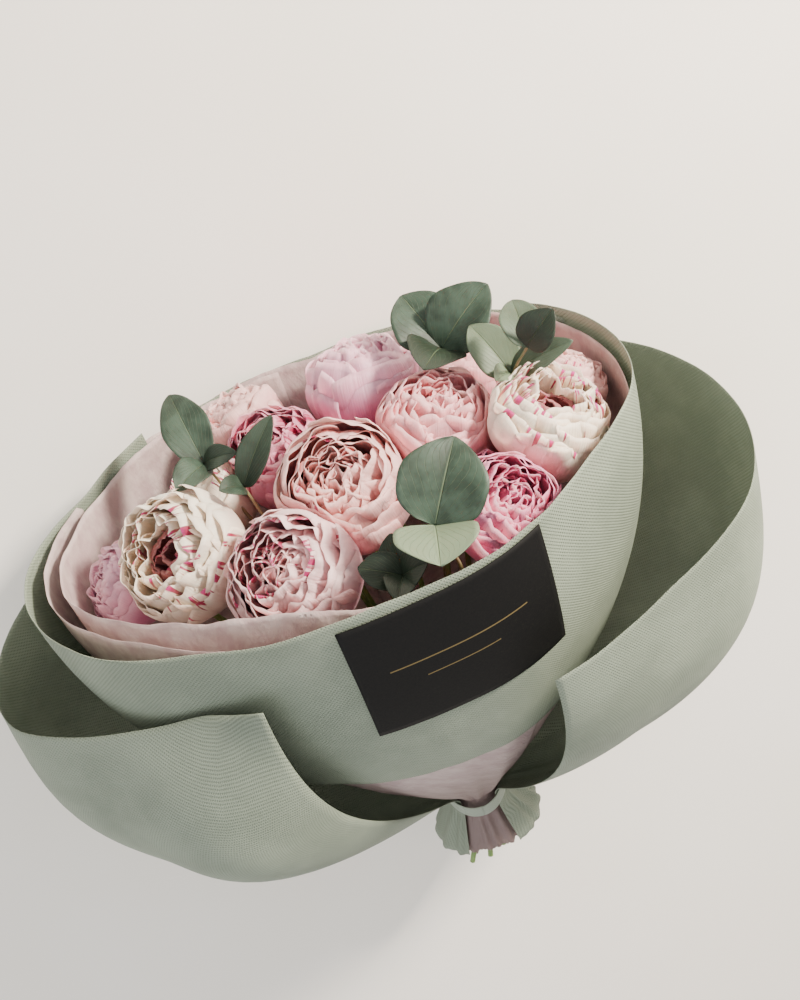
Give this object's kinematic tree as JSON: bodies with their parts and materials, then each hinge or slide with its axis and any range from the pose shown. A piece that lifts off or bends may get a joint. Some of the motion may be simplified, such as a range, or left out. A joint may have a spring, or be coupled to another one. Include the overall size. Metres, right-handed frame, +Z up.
{
  "type": "wrapped bunch of peonies",
  "caption": "Hand-tied bunch of peonies with eucalyptus, wrapped in flared sage paper and blush tissue with a plain dark card, lying on its back.",
  "frame": {"origin": "on the surface that the bunch lies on, under the middle of its bounding box", "axes": "-Y towards the flowers along the stems, +Z up, X across the bunch"},
  "size_m": [0.5766, 0.483, 0.3179],
  "materials": {
    "string": "twisted jute string",
    "card": "smooth dark card",
    "eucalyptus_leaf": "waxy grey-green leaf",
    "peony_01_petals": "soft matt petals",
    "peony_stem": "fresh green stem",
    "peony_02_petals": "soft matt petals",
    "peony_03_petals": "soft matt petals",
    "peony_04_petals": "soft matt petals",
    "peony_05_petals": "soft matt petals",
    "peony_06_petals": "soft matt petals",
    "peony_07_petals": "soft matt petals",
    "peony_08_petals": "soft matt petals",
    "peony_09_petals": "soft matt petals",
    "peony_10_petals": "soft matt petals",
    "peony_11_petals": "soft matt petals",
    "peony_12_petals": "soft matt petals",
    "peony_13_petals": "soft matt petals",
    "peony_14_petals": "soft matt petals",
    "ribbon": "satin ribbon",
    "blush_tissue": "thin matt tissue paper",
    "sage_paper": "matt embossed florist paper"
  },
  "bodies": {
    "root": {"binding_string": "string", "card": "card", "eucalyptus_back": "eucalyptus_leaf", "eucalyptus_front": "eucalyptus_leaf", "eucalyptus_hollow": "eucalyptus_leaf", "eucalyptus_left": "eucalyptus_leaf", "eucalyptus_middle": "eucalyptus_leaf", "eucalyptus_right": "eucalyptus_leaf", "peony_01_head": "peony_01_petals", "peony_01_stem": "peony_stem", "peony_02_head": "peony_02_petals", "peony_02_stem": "peony_stem", "peony_03_head": "peony_03_petals", "peony_03_stem": "peony_stem", "peony_04_head": "peony_04_petals", "peony_04_stem": "peony_stem", "peony_05_head": "peony_05_petals", "peony_05_stem": "peony_stem", "peony_06_head": "peony_06_petals", "peony_06_stem": "peony_stem", "peony_07_head": "peony_07_petals", "peony_07_stem": "peony_stem", "peony_08_head": "peony_08_petals", "peony_08_stem": "peony_stem", "peony_09_head": "peony_09_petals", "peony_09_stem": "peony_stem", "peony_10_head": "peony_10_petals", "peony_10_stem": "peony_stem", "peony_11_head": "peony_11_petals", "peony_11_stem": "peony_stem", "peony_12_head": "peony_12_petals", "peony_12_stem": "peony_stem", "peony_13_head": "peony_13_petals", "peony_13_stem": "peony_stem", "peony_14_head": "peony_14_petals", "peony_14_stem": "peony_stem", "ribbon": "ribbon", "tissue_inner": "blush_tissue", "tissue_outer": "blush_tissue", "wrap_back": "sage_paper", "wrap_collar": "sage_paper", "wrap_left": "sage_paper", "wrap_right": "sage_paper"}
  },
  "joints": []
}
